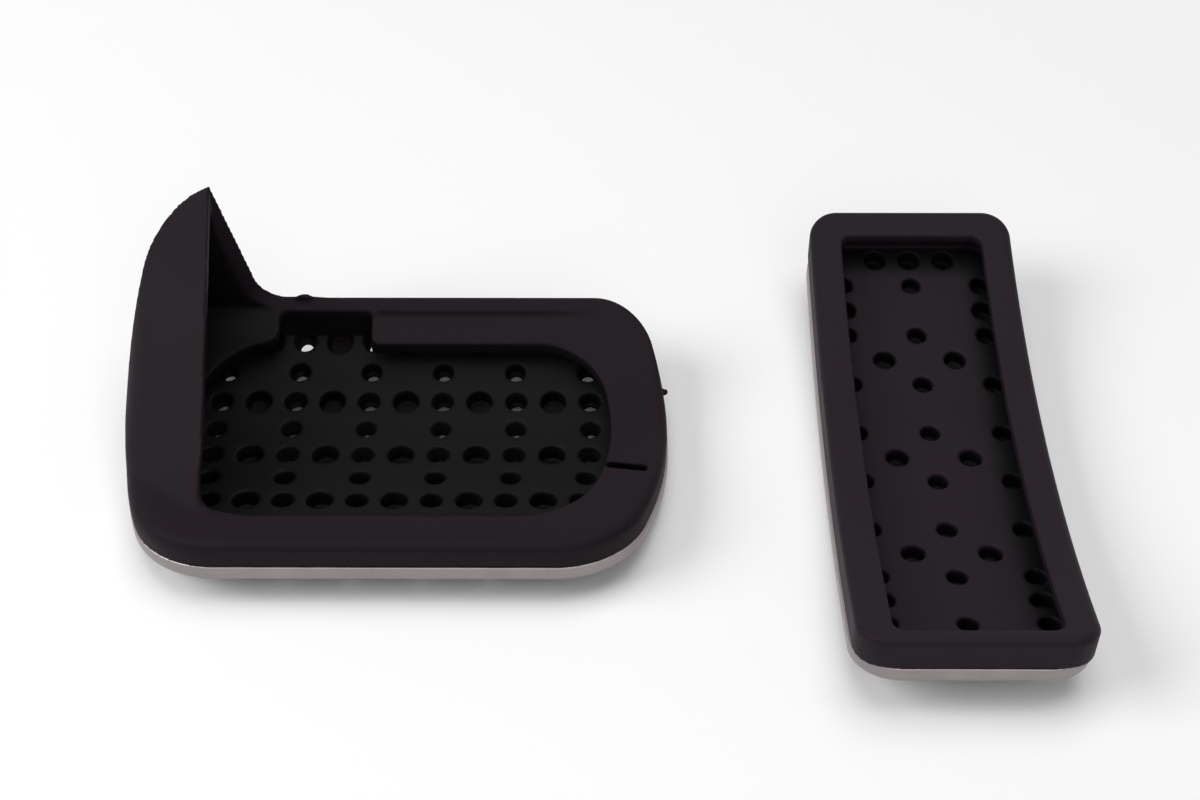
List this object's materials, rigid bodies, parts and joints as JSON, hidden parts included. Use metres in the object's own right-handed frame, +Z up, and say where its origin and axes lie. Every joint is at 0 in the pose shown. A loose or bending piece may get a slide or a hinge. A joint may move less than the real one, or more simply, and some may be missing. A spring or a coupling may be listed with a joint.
{
  "type": "pedal cover set",
  "caption": "Slip-on rubber pedal covers with metal tread faces: a wide hooded brake cover and a long narrow accelerator cover, lying face down with their pedal pockets open.",
  "frame": {"origin": "centre of the pair in plan, at the height of the lowest studs, on which both covers lie face down", "axes": "+X across the pair from the brake cover to the accelerator cover, +Y towards the hooded end away from the camera, +Z up out of the pedal pockets"},
  "size_m": [0.2146, 0.1394, 0.057],
  "materials": {
    "moulded_rubber": "matte moulded",
    "face_metal": "satin"
  },
  "bodies": {
    "root": {"brake_boot": "moulded_rubber", "brake_plate": "face_metal", "accelerator_boot": "moulded_rubber", "accelerator_plate": "face_metal"}
  },
  "joints": []
}
